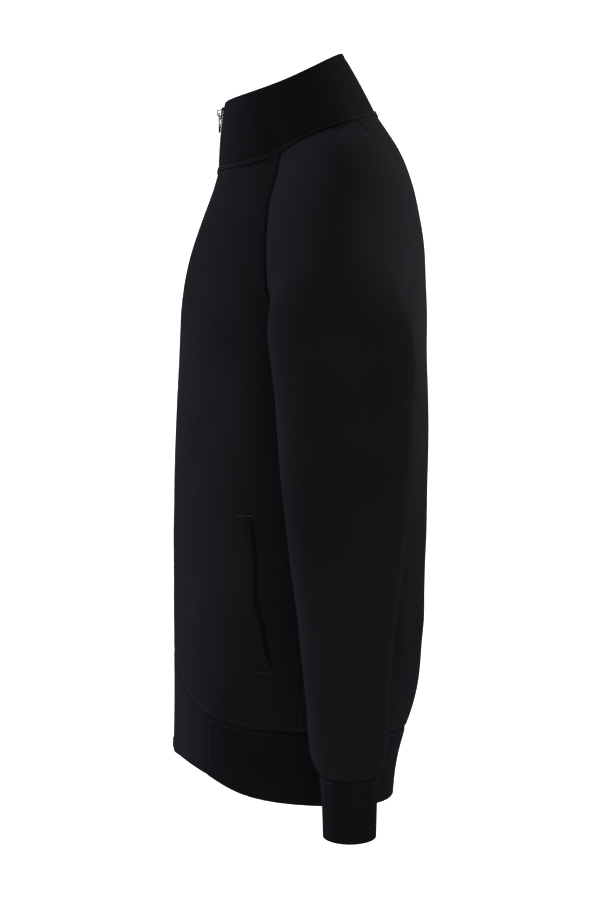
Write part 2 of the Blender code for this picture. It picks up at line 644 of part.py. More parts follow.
def add_slider(line, metal):
    """Front and back plates that the chain runs between, a crown that joins them, and the bail in front."""
    s, b = SLIDER, BAIL
    face = float(line(PIVOT_Z)) - CHAIN_PROUD - ON_PANEL - s["plate"]
    inner_face = face + s["plate"]
    inner_back = float(line(PIVOT_Z)) + CHAIN_DEPTH - CHAIN_PROUD + 4 * ON_PANEL + TAPE_THICK
    back = inner_back + s["plate"]
    crown = ZIP_TOP_Z + SEAM_GAP
    outline = [
        (face, s["top"] - s["corner"]), (face + s["corner"], s["top"]), (back - s["corner"], s["top"]),
        (back, s["top"] - s["corner"]), (back, s["bottom"]), (inner_back, s["bottom"]), (inner_back, crown),
        (inner_face, crown), (inner_face, s["bottom"]), (face, s["bottom"]),
    ]
    leaning = [(y + float(line(z) - line(PIVOT_Z)), z) for y, z in outline]
    slider = extruded("zip_slider", leaning, "X", -s["half_x"], s["half_x"], metal)
    out, sunk, t, slope = face - b["out"], face + s["plate"] / 2, b["thick"], b["slope"]
    arch = [
        (sunk, b["bottom"]), (face, b["bottom"]), (out, b["bottom"] + slope), (out, b["top"] - slope),
        (face, b["top"]), (sunk, b["top"]),
    ]
    bail = extruded("bail", arch, "X", -b["half_x"], b["half_x"], metal)
    under = [
        (sunk, b["bottom"] + t), (face, b["bottom"] + t), (out + t, b["bottom"] + t + slope / 2),
        (out + t, b["top"] - t - slope / 2), (face, b["top"] - t), (sunk, b["top"] - t),
    ]
    combine(bail, extruded("bail_hole", under, "X", -2 * b["half_x"], 2 * b["half_x"], metal), "DIFFERENCE")
    combine(slider, bail, "UNION")
    return face


def add_pull_tab(face, metal):
    """A plate with a window that the bail passes through; it swings about the bar above the window."""
    half, thick = TAB["half_x"], TAB["thick"] / 2
    right = [(half * share, z) for share, z in TAB_OUTLINE]
    outline = right + [(-x, z) for x, z in right[::-1]]
    tab = extruded("pull_tab", outline, "Y", -thick, thick, metal)
    x, low, high = (TAB_WINDOW[key] for key in ("half_x", "bottom", "top"))
    corners = [(-x, low), (x, low), (x, high), (-x, high)]
    window = extruded("window", corners, "Y", -2 * thick, 2 * thick, metal)
    combine(tab, window, "DIFFERENCE")
    tab.location = (0.0, face - PIVOT_OUT, PIVOT_Z)


# --- what lies on the panels ---


def laid_patch(name, surface, thick, finish):
    """A thin closed piece that lies just off a grid of surface points."""
    return cloth(name, surface + grid_normals(surface) * (PATCH_OFF + thick), thick, finish)


def add_pockets(finish):
    """The welt on the front edge of each pocket's slanted mouth."""
    angle = curve_of(POCKET_MOUTH, POCKET_COLUMNS, "z", "angle")
    rows = []
    for z in np.linspace(POCKET_MOUTH[0][1], POCKET_MOUTH[-1][1], POCKET_STEPS + 1):
        mouth_angle = angle(z)
        one_degree = np.linalg.norm(on_body(mouth_angle - 1, z) - on_body(mouth_angle, z))
        width = POCKET_WELT_WIDTH / one_degree
        rows.append([on_body(mouth_angle - width * share, z) for share in (1.0, 0.5, 0.0)])
    surface = folded(np.array(rows), BODY_FOLDS)
    for side, grid in (("left", surface), ("right", mirrored(surface))):
        laid_patch(f"pocket_welt_{side}", grid, POCKET_WELT_THICK, finish)


def add_chin_guard(collar, finish):
    """A folded scrap beside the zip's top end, on the wearer's left."""
    rows = []
    for z in np.linspace(GUARD["top"], GUARD["bottom"], GUARD_STEPS):
        up = (z - GUARD["bottom"]) / (GUARD["top"] - GUARD["bottom"])
        width = GUARD["width"] * (GUARD["foot"] + (1 - GUARD["foot"]) * min(1.0, 2 * up))
        xs = np.linspace(FABRIC_EDGE_X, FABRIC_EDGE_X + width, 3)
        rows.append([(x, collar_y(collar, x, z), z) for x in xs])
    laid_patch("chin_guard", np.array(rows), GUARD["thick"], finish)


def collar_y(collar, x, z):
    """The collar's y at this x and height, near the zip."""
    ys = [np.interp(z, collar[::-1, c, 2], collar[::-1, c, 1]) for c in range(3)]
    xs = [np.interp(z, collar[::-1, c, 2], collar[::-1, c, 0]) for c in range(3)]
    return float(np.interp(x, xs, ys))


def main():
    clear_scene()
    shell = material("brushed_fleece_knit", "1b191d", 0.9)
    double = material("double_fleece_knit", "18161a", 0.9)
    plain = material("plain_jersey_trim", "222025", 0.85)
    tape = material("woven_zip_tape", "141216", 0.8)
    metal = material("dark_nickel_zip", "3a393d", 0.35, 0.9)

    front_seam, back_seam, top = raglan_points()
    front = zip_edge(folded(front_grid(front_seam), BODY_FOLDS))
    back = folded(back_grid(back_seam), BODY_FOLDS)
    sleeve = folded(sleeve_grid(front_seam, back_seam, top), SLEEVE_FOLDS)
    neck = np.concatenate([front[0], sleeve[0, 1:-1], back[0]])
    below = np.concatenate([front[1], sleeve[1, 1:-1], back[1]])
    collar = collar_grid(neck)
    end = hem_end_grid()

    add_body(front, back, shell)
    add_sleeves(sleeve, shell)
    add_hem(end, double, plain)
    add_cuffs(double)
    add_collar(neck, double)
    add_neck_band(neck, collar[-2], below, plain)
    line, outer_line = (front_line((collar, front, end), x) for x in (FABRIC_EDGE_X, TAPE_OUTER_X))
    add_zip(line, outer_line, tape, metal)
    add_pull_tab(add_slider(line, metal), metal)
    add_pockets(plain)
    add_chin_guard(collar, plain)


main()
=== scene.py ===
"""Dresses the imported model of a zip-up raglan sweatshirt in knitted cloth, seams, zip teeth and studio light.

Metres. +Z is up, the front faces -Y and the photograph looks along -X at the wearer's left side.
"""

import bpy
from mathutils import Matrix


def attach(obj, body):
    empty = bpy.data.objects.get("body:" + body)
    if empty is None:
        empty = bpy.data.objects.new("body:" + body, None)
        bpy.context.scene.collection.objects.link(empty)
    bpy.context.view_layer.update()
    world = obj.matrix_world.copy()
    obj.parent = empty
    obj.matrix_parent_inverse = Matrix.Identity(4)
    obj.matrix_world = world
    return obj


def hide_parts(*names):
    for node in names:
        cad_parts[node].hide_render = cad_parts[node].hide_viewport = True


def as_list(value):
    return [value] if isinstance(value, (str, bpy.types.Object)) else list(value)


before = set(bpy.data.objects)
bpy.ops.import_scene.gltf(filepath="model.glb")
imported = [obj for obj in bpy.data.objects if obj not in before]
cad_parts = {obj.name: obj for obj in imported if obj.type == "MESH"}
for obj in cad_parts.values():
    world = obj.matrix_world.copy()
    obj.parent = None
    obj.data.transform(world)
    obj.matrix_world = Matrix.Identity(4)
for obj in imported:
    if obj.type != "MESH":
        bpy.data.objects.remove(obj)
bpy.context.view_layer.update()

import math
from functools import cache

import bmesh
import bpy
import numpy as np
from bpy.props import FloatProperty, FloatVectorProperty, PointerProperty
from mathutils import Matrix, Vector, kdtree
from mathutils.bvhtree import BVHTree

bl_info = {
    "name": "Zip-up sweatshirt",
    "version": (1, 0, 0),
    "blender": (4, 5, 0),
    "location": "3D View > Sidebar > Sweatshirt",
    "description": "Dresses a packed sweatshirt in knitted cloth, seams and zip, on a studio stage",
    "category": "Object",
}

CLOTH_BODY = "garment"
CAMERA = (2.5, 0.0, -0.314)  # where the photograph was taken from

# The cloth pieces: wall thickness, steps of subdivision, record slot, and the cut's size laid flat
CLOTH_COLUMNS = ("node", "wall", "levels", "slot", "width", "length", "area")
CLOTH_TABLE = (
    ("front_left", 0.0018, 3, "fleece_knit", 0.300, 0.600, 0.130),
    ("front_right", 0.0018, 3, "fleece_knit", 0.300, 0.600, 0.130),
    ("back", 0.0018, 3, "fleece_knit", 0.560, 0.650, 0.262),
    ("sleeve_left", 0.0018, 3, "fleece_knit", 0.440, 0.700, 0.188),
    ("sleeve_right", 0.0018, 3, "fleece_knit", 0.440, 0.700, 0.188),
    ("collar", 0.0026, 3, "double_fleece_knit", 0.520, 0.090, 0.034),
    ("hem_band", 0.0026, 3, "double_fleece_knit", 0.720, 0.080, 0.047),
    ("hem_end_left", 0.0026, 3, "plain_jersey", 0.150, 0.115, 0.0125),
    ("hem_end_right", 0.0026, 3, "plain_jersey", 0.150, 0.115, 0.0125),
    ("cuff_left", 0.0026, 3, "double_fleece_knit", 0.170, 0.060, 0.0100),
    ("cuff_right", 0.0026, 3, "double_fleece_knit", 0.170, 0.060, 0.0100),
)
CLOTH = [dict(zip(CLOTH_COLUMNS, row)) for row in CLOTH_TABLE]
TUBES = ("sleeve_left", "sleeve_right", "cuff_left", "cuff_right")
MERGED = 2e-5  # corners of a CAD mesh nearer than this are one point
WALL_REACH = 1.6  # how far off a wall's other side is looked for, in thicknesses of the wall
SMOOTH = math.radians(60)  # faces that meet at less than this belong to one side of a wall
LARGEST_HOLE = 8  # a hole with this many edges or fewer is filled
BENT = math.radians(40)  # an underarm bent more sharply than this is eased
EASINGS = 4  # rounds of smoothing there
QUAD_BEND, QUAD_SKEW = math.radians(60), math.radians(160)  # two triangles within these become a quad
SEWN_WITHIN = 0.0026  # a sheet's edge this near to another piece is sewn on there
MOST_CLOSED = 0.0014  # how far a sheet's edge is moved at most, to close a seam
BESIDE_ZIP = ("front", "collar")
NEAR_ZIP = 0.012  # the cloth's edges within this of the middle lie beside the zip
PUCKERED = ("hem_band", "hem_end_left", "hem_end_right", "cuff_left", "cuff_right")

# Soft folds on the wearer's left, mirrored on the right: from, to, reach across and height, in metres
FOLD_COLUMNS = ("piece", "start", "end", "reach", "height")
FOLDS = (
    ("front", (0.150, -0.075, -0.190), (0.060, -0.120, -0.235), 0.020, 0.0016),
    ("front", (0.175, -0.060, -0.250), (0.120, -0.100, -0.330), 0.018, -0.0012),
    ("front", (0.194, -0.030, -0.380), (0.197, 0.010, -0.470), 0.012, 0.0014),
    ("front", (0.186, -0.060, -0.540), (0.150, -0.090, -0.560), 0.010, 0.0012),
    ("back", (0.100, 0.120, -0.500), (0.020, 0.128, -0.480), 0.018, 0.0016),
    ("back", (0.170, 0.085, -0.430), (0.120, 0.112, -0.540), 0.018, 0.0018),
    ("back", (0.150, 0.105, -0.190), (0.060, 0.128, -0.230), 0.024, -0.0014),
    ("sleeve", (0.120, 0.030, -0.010), (0.190, 0.040, -0.045), 0.020, 0.0010),
    ("sleeve", (0.285, 0.080, -0.380), (0.308, 0.040, -0.420), 0.014, -0.0016),
    ("sleeve", (0.240, 0.085, -0.430), (0.300, 0.070, -0.452), 0.010, 0.0014),
    ("sleeve", (0.245, 0.015, -0.590), (0.285, 0.030, -0.600), 0.006, 0.0009),
    ("sleeve", (0.250, 0.075, -0.585), (0.285, 0.060, -0.597), 0.007, 0.0011),
)

# The wandering of the gathers along hem and cuffs: how far their phase sways, over how many gathers,
# over how many more their height comes and goes, and from where the seam lets them rise
GATHER_SWAY, SWAY_LENGTH, FADE_LENGTH, GATHER_START = 1.7, 4.3, 6.1, 0.003
GROOVE_SHARE, GROOVE_REACH = 0.6, 0.0016  # the topstitching's groove, as a share of the seam's depth

# The pocket's mouth behind the welt: its narrow slit and the gentler hollow behind that
SLIT_OFFSET, SLIT_REACH, SLIT_END, SLIT_REFINED = 0.0010, 0.0014, 0.05, 0.008
HOLLOW_OFFSET, HOLLOW_REACH, HOLLOW_SHARE = 0.012, 0.012, 0.15
MOUTH_POINTS = 15

BAR_STITCH, BAR_STEP, BAR_SLANT, BAR_LIFT = (0.0017, 0.0006, 0.0006), 0.0005, 0.35, 0.0004
BARTACK_FORWARD = 0.0055  # from the mouth's line to the middle of its bartacks
# The bartacks: end of the mouth, way up from that end, length, and lift off the cloth
BARTACKS = (("top", 0.0010, 0.0165, 0.0015), ("bottom", -0.0050, 0.0150, 0.0002))

# One coil turn of the zip: depth, share of the pitch, rounding, way in from the chain's front, way aside
TURN_DEPTH, TURN_SHARE, TURN_EDGE, TURN_INSET, TURN_ASIDE = 0.0030, 0.72, 0.0004, 0.0016, 0.0011

# The soft lights: name, place, size and colour; each has its power in StageSizes
LAMPS = (
    ("fill", (3.0, 0.5, 0.2), 1.8, "fff4fa"),
    ("key", (-1.0, -2.3, 0.9), 0.9, "e4edff"),
    ("rim", (-0.5, 1.2, 0.5), 0.4, "eef2ff"),
)
LAMPS_AIM = (0, 0, -0.3)
# The narrow light on the upper back: its place, what it points at, its angle in degrees, and its softness
BEAM_PLACE, BEAM_AIM = (-0.15, 1.25, 0.25), (0.05, 0.12, -0.10)
BEAM_ANGLE, BEAM_BLEND, BEAM_SIZE = 24, 0.7, 0.12
WORLD_STRENGTH = 0.3
SWEEP_NEAR, SWEEP_HALF = 4.0, 4.0  # how far the floor reaches towards the camera, and to each side
SWEEP_BENDS = ((-0.35, 0, 0.12), (-0.12, 0, 0.35), (0, 0, 4.5))  # from the floor up the backdrop
GLOW_RISE = 0.02  # the backdrop glows fully this far above the floor


class ClothSizes(bpy.types.PropertyGroup):
    seam_dip: FloatProperty(name="Seam depth", description="How far a seam draws the cloth in",
                            default=0.0009, min=0, unit="LENGTH")
    seam_reach: FloatProperty(name="Seam reach", description="How far from the seam the cloth is drawn in",
                              default=0.0032, min=0.001, unit="LENGTH")
    pucker: FloatProperty(name="Pucker height", description="Height of the small gathers along hem and cuffs",
                          default=0.00045, min=0, unit="LENGTH")
    pucker_step: FloatProperty(name="Pucker spacing", description="From one gather to the next",
                               default=0.013, min=0.004, unit="LENGTH")
    pucker_reach: FloatProperty(name="Pucker length", description="How far the gathers run from the seam",
                                default=0.011, min=0.002, unit="LENGTH")
    unevenness: FloatProperty(name="Unevenness", description="Height of the cloth's broad, faint waves",
                              default=0.0006, min=0, unit="LENGTH")
    slit_depth: FloatProperty(name="Pocket slit", description="How deep the pocket's mouth sinks",
                              default=0.0048, min=0, unit="LENGTH")


class StitchSizes(bpy.types.PropertyGroup):
    length: FloatProperty(name="Stitch length", description="Length of one stitch",
                          default=0.0026, min=0.001, unit="LENGTH")
    step: FloatProperty(name="Stitch spacing", description="From one stitch to the next",
                        default=0.0034, min=0.001, unit="LENGTH")
    thickness: FloatProperty(name="Thread", description="Thickness of the sewing thread",
                             default=0.00042, min=0.0001, unit="LENGTH")
    placket: FloatProperty(name="Placket", description="From the cloth's edge at the zip to its topstitching",
                           default=0.0068, min=0.002, unit="LENGTH")
    offset: FloatProperty(name="Offset", description="From the seam to the row of stitches",
                          default=0.0042, min=0.001, unit="LENGTH")


class ZipSizes(bpy.types.PropertyGroup):
    tooth_step: FloatProperty(name="Tooth pitch", description="From one coil turn to the next",
                              default=0.0016, min=0.0005, unit="LENGTH")
    tooth_width: FloatProperty(name="Tooth width", description="Width of one coil turn across the zip",
                               default=0.0034, min=0.001, unit="LENGTH")


class Finishes(bpy.types.PropertyGroup):
    jersey: FloatVectorProperty(name="Jersey", description="Colour of the cloth's smooth face (linear)",
                                subtype="COLOR", size=3, default=(0.0118, 0.0100, 0.0118))
    sheen: FloatProperty(name="Sheen", description="Strength of the fibres' sheen", default=0.012, min=0,
                         max=1, subtype="FACTOR")
    bump: FloatProperty(name="Knit relief", description="Height of the knitted loops",
                        default=0.00012, min=0, unit="LENGTH")


class StageSizes(bpy.types.PropertyGroup):
    floor: FloatProperty(name="Floor", description="Height of the floor, from the shoulders",
                         default=-1.42, unit="LENGTH")
    backdrop: FloatProperty(name="Backdrop", description="Distance of the white backdrop behind the garment",
                            default=3.4, min=0.5, unit="LENGTH")
    lens: FloatProperty(name="Lens", description="Focal length of the camera", default=97.1, min=10)
    fill: FloatProperty(name="Fill light", description="Power of the broad light beside the camera",
                        default=25.0, min=0, unit="POWER")
    key: FloatProperty(name="Key light", description="Power of the soft light at the front left",
                       default=84.0, min=0, unit="POWER")
    beam: FloatProperty(name="Shoulder beam", description="Power of the narrow light on the upper back",
                        default=55.0, min=0, unit="POWER")
    rim: FloatProperty(name="Rim light", description="Power of the light high behind the back",
                       default=11.0, min=0, unit="POWER")


def sizes(name):
    return getattr(bpy.context.scene, "sweatshirt_" + name)


# --- meshes ---


def new_piece(name, mesh, finish, body=CLOTH_BODY, slot=None):
    """A finished piece at the origin, with its materials, riding on a body of the frame."""
    piece = bpy.data.objects.new(name, mesh)
    bpy.context.scene.collection.objects.link(piece)
    mesh.materials.clear()
    for each in finish if isinstance(finish, (list, tuple)) else [finish]:
        mesh.materials.append(each)
    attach(piece, body)
    return piece


def mesh_from(bm, name, smooth=True):
    mesh = bpy.data.meshes.new(name)
    bm.to_mesh(mesh)
    bm.free()
    if smooth:
        mesh.shade_smooth()
    return mesh


def welded(node):
    """A copy of a CAD node's mesh with its loose triangles merged."""
    bm = bmesh.new()
    bm.from_mesh(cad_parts[node].data)
    bmesh.ops.remove_doubles(bm, verts=bm.verts, dist=MERGED)
    return bm


def outer_sheet(node, wall):
    """The outer face of a CAD wall, as an open sheet of quads.

    A face of the wall has its other side one wall away, which its rim's faces haven't. Of the two runs
    of such faces, the outer one is larger.
    """
    bm = welded(node)
    tree = BVHTree.FromBMesh(bm)
    inside = 1e-5  # each ray starts this far below its face
    sides = [f for f in bm.faces
             if tree.ray_cast(f.calc_center_median() - f.normal * inside, -f.normal, WALL_REACH * wall)[0]]
    unseen, largest, largest_area = set(sides), [], 0
    while unseen:
        run, queue = [], [unseen.pop()]
        while queue:
            face = queue.pop()
            run.append(face)
            for edge in face.edges:
                if len(edge.link_faces) == 2 and edge.calc_face_angle() < SMOOTH:
                    for other in edge.link_faces:
                        if other in unseen:
                            unseen.remove(other)
                            queue.append(other)
        area = sum(f.calc_area() for f in run)
        if area > largest_area:
            largest, largest_area = run, area
    keep = set(largest)
    bmesh.ops.delete(bm, geom=[f for f in bm.faces if f not in keep], context="FACES")
    bmesh.ops.holes_fill(bm, edges=[e for e in bm.edges if e.is_boundary], sides=LARGEST_HOLE)
    bent = {v for e in bm.edges if len(e.link_faces) == 2 and e.calc_face_angle() > BENT for v in e.verts}
    for _ in range(EASINGS):
        bmesh.ops.smooth_vert(bm, verts=[v for v in bent if not v.is_boundary], factor=0.5,
                              use_axis_x=True, use_axis_y=True, use_axis_z=True)
    bmesh.ops.join_triangles(bm, faces=bm.faces, angle_face_threshold=QUAD_BEND,
                             angle_shape_threshold=QUAD_SKEW)
    return bm


def cut_open(bm):
    """Marks a tube's underarm line as a seam for its UV map, stepping down from its upper edge."""
    rim = [v for v in bm.verts if v.is_boundary]
    vert = min(rim, key=lambda v: abs(v.co.x) - 0.2 * v.co.z)
    for _ in range(len(bm.verts)):
        below = [e for e in vert.link_edges if e.other_vert(vert).co.z < vert.co.z - 1e-4]
        if not below:
            break
        edge = min(below, key=lambda e: (e.other_vert(vert).co - vert.co).normalized().z)
        edge.seam = True
        vert = edge.other_vert(vert)


def lay_flat(piece):
    """Gives the piece a UV map like its cut: unwrapped, upright, and in metres."""
    for o in bpy.context.selected_objects:
        o.select_set(False)
    bpy.context.view_layer.objects.active = piece
    piece.select_set(True)
    bpy.ops.object.mode_set(mode="EDIT")
    bpy.ops.mesh.select_all(action="SELECT")
    bpy.ops.uv.unwrap(method="CONFORMAL", margin=0.0)
    bpy.ops.object.mode_set(mode="OBJECT")
    mesh = piece.data
    layer = mesh.uv_layers.active
    uv = np.zeros(len(mesh.loops) * 2)
    layer.data.foreach_get("uv", uv)
    uv = uv.reshape(-1, 2) - uv.reshape(-1, 2).mean(0)
    corners = np.zeros(len(mesh.loops), int)
    mesh.loops.foreach_get("vertex_index", corners)
    z = coordinates(mesh)[corners, 2]
    slope = np.linalg.lstsq(uv, z - z.mean(), rcond=None)[0]
    turn = math.atan2(slope[0], slope[1])
    upright = np.array([[math.cos(turn), math.sin(turn)], [-math.sin(turn), math.cos(turn)]])
    real = sum(p.area for p in mesh.polygons)
    flat = 0.0
    for p in mesh.polygons:
        q = uv[p.loop_start : p.loop_start + p.loop_total]
        n = np.roll(q, -1, axis=0)
        flat += abs((q[:, 0] * n[:, 1] - n[:, 0] * q[:, 1]).sum()) / 2
    uv = uv @ upright * math.sqrt(real / flat)
    layer.data.foreach_set("uv", uv.ravel())


def coordinates(mesh):
    co = np.zeros(len(mesh.vertices) * 3)
    mesh.vertices.foreach_get("co", co)
    return co.reshape(-1, 3)


def vertex_normals(mesh):
    normals = np.zeros(len(mesh.vertices) * 3)
    mesh.vertex_normals.foreach_get("vector", normals)
    return normals.reshape(-1, 3)


def with_modifier(mesh, kind, **settings):
    """The mesh that a modifier makes of this one."""
    holder = bpy.data.objects.new("holder", mesh)
    bpy.context.scene.collection.objects.link(holder)
    change = holder.modifiers.new(kind, kind)
    for name, value in settings.items():
        setattr(change, name, value)
    bpy.context.view_layer.update()
    made = bpy.data.meshes.new_from_object(holder.evaluated_get(bpy.context.evaluated_depsgraph_get()))
    bpy.data.objects.remove(holder)
    return made


# --- cloth ---


def edge_lines(mesh):
    """The open edges of a sheet as runs of vertex numbers, in order."""
    bm = bmesh.new()
    bm.from_mesh(mesh)
    bm.verts.ensure_lookup_table()
    unused = {e.index: e for e in bm.edges if e.is_boundary}  # in the mesh's own order, the same each run
    lines = []
    while unused:
        edge = unused.pop(next(iter(unused)))
        line = [edge.verts[0].index, edge.verts[1].index]
        grown = True
        while grown:
            grown = False
            for e in bm.verts[line[-1]].link_edges:
                if unused.pop(e.index, None):
                    line.append(e.other_vert(bm.verts[line[-1]]).index)
                    grown = True
                    break
        lines.append(line)
    bm.free()
    return lines


@cache
def cloth_tree(node):
    """The search tree of a cloth piece's solid, made once."""
    bm = welded(node)
    tree = BVHTree.FromBMesh(bm)
    bm.free()
    return tree


def neighbours_of(node):
    """Trees of the other cloth pieces' solids, by name."""
    return {row["node"]: cloth_tree(row["node"]) for row in CLOTH if row["node"] != node}


def tree_of(points):
    """A search tree of (place, number) pairs."""
    tree = kdtree.KDTree(len(points))
    for place, number in points:
        tree.insert(place, number)
    tree.balance()
    return tree


def met_by(point, trees):
    """The cloth piece that is sewn on at this point, by name, and its nearest point.

    At a free edge they are None and the point itself.
    """
    best, name, place = SEWN_WITHIN, None, point
    for other, tree in trees.items():
        found = tree.find_nearest(point, best)
        if found[0] is not None and found[3] < best:
            best, name, place = found[3], other, found[0]
    return name, place


def seams_of(mesh, node):
    """Closes the sheet's seams onto the pieces sewn there.

    Returns its edges: runs of (vertex, length along the edge, name of the piece sewn on there or None).
    """
    co, trees, runs = coordinates(mesh), neighbours_of(node), []
    for line in edge_lines(mesh):
        steps = np.linalg.norm(np.diff(co[line], axis=0), axis=1)
        along = np.concatenate([[0], np.cumsum(steps)])
        met = [met_by(Vector(co[v]), trees) for v in line]
        for v, (_, place) in zip(line, met):
            gap = np.array(place) - co[v]
            co[v] += gap * min(1, MOST_CLOSED / max(np.linalg.norm(gap), 1e-9))
        runs.append(list(zip(line, along, [name for name, _ in met])))
    mesh.vertices.foreach_set("co", co.ravel())
    return runs


def folds_for(node):
    """The folds of this node's piece, each mirrored to its side."""
    for row in FOLDS:
        fold = dict(zip(FOLD_COLUMNS, row))
        if not node.startswith(fold["piece"]):
            continue
        for side in (1, -1):
            if node.endswith("_left") and side < 0 or node.endswith("_right") and side > 0:
                continue
            start, end = (np.array(fold[k]) * (side, 1, 1) for k in ("start", "end"))
            yield start, end, fold["reach"], fold["height"]


def waves(co, height):
    """Broad, faint unevenness: a few crossing sine waves of 70 to 190 mm."""
    x, y, z = co.T * 2 * math.pi
    return height * (
        0.5 * np.sin(x / 0.13 + 1.3 * np.sin(z / 0.19)) * np.sin(z / 0.16 + 0.7)
        + 0.3 * np.sin(y / 0.09 + z / 0.11 + 2.1)
        + 0.2 * np.sin(z / 0.07 - x / 0.15 + 0.4)
    )


def fold_heights(co, node):
    """How far each point moves out for the folds, which fade towards both ends."""
    move = np.zeros(len(co))
    for start, end, reach, height in folds_for(node):
        way = end - start
        along = np.clip(((co - start) @ way) / (way @ way), 0, 1)
        off = np.linalg.norm(co - start - along[:, None] * way, axis=1)
        ends = np.sin(np.pi * np.clip(along, 0.04, 0.96)) ** 0.5
        move += height * ends * np.exp(-((off / reach) ** 2))
    return move


def seam_heights(co, node, runs):
    """How far each point moves out beside the seams: drawn in, with gathers along hem and cuffs."""
    s = sizes("cloth")
    move = np.zeros(len(co))
    points = [point for run in runs for point in run if point[2]]
    if not points:
        return move
    tree = tree_of([(co[v], i) for i, (v, _, _) in enumerate(points)])
    for i, place in enumerate(co):
        _, found, distance = tree.find(place)
        if distance > 5 * s.pucker_reach:
            continue
        _, along, other = points[found]
        move[i] -= s.seam_dip * math.exp(-((distance / s.seam_reach) ** 2))
        if other in PUCKERED or node in PUCKERED and not other.startswith(("hem", "cuff")):
            turn = 2 * math.pi * along / s.pucker_step
            gather = math.sin(turn + GATHER_SWAY * math.sin(turn / SWAY_LENGTH))
            fade = math.sin(turn / FADE_LENGTH + 1) * math.exp(-distance / s.pucker_reach)
            move[i] += s.pucker * gather * fade * min(1, distance / GATHER_START)
    return move


def drape(mesh, node):
    """Moves the sheet's points for its seams, gathers, folds, faint waves, pocket and topstitching."""
    s = sizes("cloth")
    normals, runs = vertex_normals(mesh), seams_of(mesh, node)
    co = coordinates(mesh)
    move = waves(co, s.unevenness) + fold_heights(co, node) + seam_heights(co, node, runs)
    if node.startswith("front"):
        move -= pocket_slit(co, node) * s.slit_depth
    if node.startswith(BESIDE_ZIP):
        edge = [v for run in runs for v, _, n in run if not n and abs(co[v, 0]) < NEAR_ZIP]
        tree = tree_of([(co[v], v) for v in edge])
        off = np.array([tree.find(place)[2] for place in co])
        groove = np.exp(-(((off - sizes("stitches").placket) / GROOVE_REACH) ** 2))
        move -= s.seam_dip * GROOVE_SHARE * groove
    co += normals * move[:, None]
    mesh.vertices.foreach_set("co", co.ravel())
    mesh.update()
    return runs


def refine(mesh, line, reach):
    """Cuts the mesh's edges within reach of a line of points in three."""
    off, _ = line_distance(coordinates(mesh), line)
    bm = bmesh.new()
    bm.from_mesh(mesh)
    near = [e for e in bm.edges if max(off[v.index] for v in e.verts) < reach]
    bmesh.ops.subdivide_edges(bm, edges=near, cuts=2, use_grid_fill=True)
    bm.to_mesh(mesh)
    bm.free()


def pocket_mouth(side):
    """The line of a pocket's mouth, from its top: the back edge of the welt in the frame."""
    co = coordinates(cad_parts[f"pocket_welt_{side}"].data)
    levels = np.linspace(co[:, 2].max(), co[:, 2].min(), MOUTH_POINTS)
    nearest = np.abs(co[:, 2][:, None] - levels).argmin(1)
    return np.array([co[nearest == i][co[nearest == i][:, 1].argmax()] for i in range(len(levels))])


def behind_welt(node, offset):
    """The mouth's line on a front, moved back by an offset."""
    return pocket_mouth(node.split("_")[1]) + np.array([0, offset, 0])


def line_distance(co, line):
    """Distance of each point from a line of points, and how far down the line it lies, from 0 to 1."""
    best, where = np.full(len(co), 1e9), np.zeros(len(co))
    for i, (a, b) in enumerate(zip(line, line[1:])):
        t = np.clip(((co - a) @ (b - a)) / ((b - a) @ (b - a)), 0, 1)
        off = np.linalg.norm(co - a - t[:, None] * (b - a), axis=1)
        nearer = off < best
        best[nearer] = off[nearer]
        where[nearer] = ((i + t) / (len(line) - 1))[nearer]
    return best, where


def pocket_slit(co, node):
    """Depth of the groove behind the welt, 0 to 1, with a gentler hollow behind it."""
    off, where = line_distance(co, behind_welt(node, SLIT_OFFSET))
    ends = np.clip(np.minimum(where, 1 - where) / SLIT_END, 0, 1)
    away, _ = line_distance(co, behind_welt(node, HOLLOW_OFFSET))
    hollow = HOLLOW_SHARE * np.exp(-((away / HOLLOW_REACH) ** 2))
    return ends * (np.exp(-((off / SLIT_REACH) ** 2)) + hollow)


def add_cloth(row, face, back):
    """One cut piece: the CAD wall's outer sheet, laid flat for its UV map, draped, and given its wall."""
    node = row["node"]
    cage = outer_sheet(node, row["wall"])
    if node in TUBES:
        cut_open(cage)
    holder = bpy.data.objects.new("cage", mesh_from(cage, "cage"))
    bpy.context.scene.collection.objects.link(holder)
    lay_flat(holder)
    mesh = with_modifier(holder.data, "SUBSURF", levels=row["levels"], render_levels=row["levels"],
                         boundary_smooth="PRESERVE_CORNERS", uv_smooth="PRESERVE_BOUNDARIES")
    bpy.data.objects.remove(holder)
    if node.startswith("front"):
        refine(mesh, behind_welt(node, SLIT_OFFSET), SLIT_REFINED)
    runs = drape(mesh, node)
    mesh.shade_smooth()
    mesh.name = node + "_cloth"
    piece = new_piece(node + "_cloth", mesh, [face, back], slot=row["slot"])
    wall = piece.modifiers.new("wall", "SOLIDIFY")
    wall.thickness = row["wall"]
    wall.offset = -1.0
    wall.material_offset = 1
    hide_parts(node)
    return piece, runs


# --- stitches ---


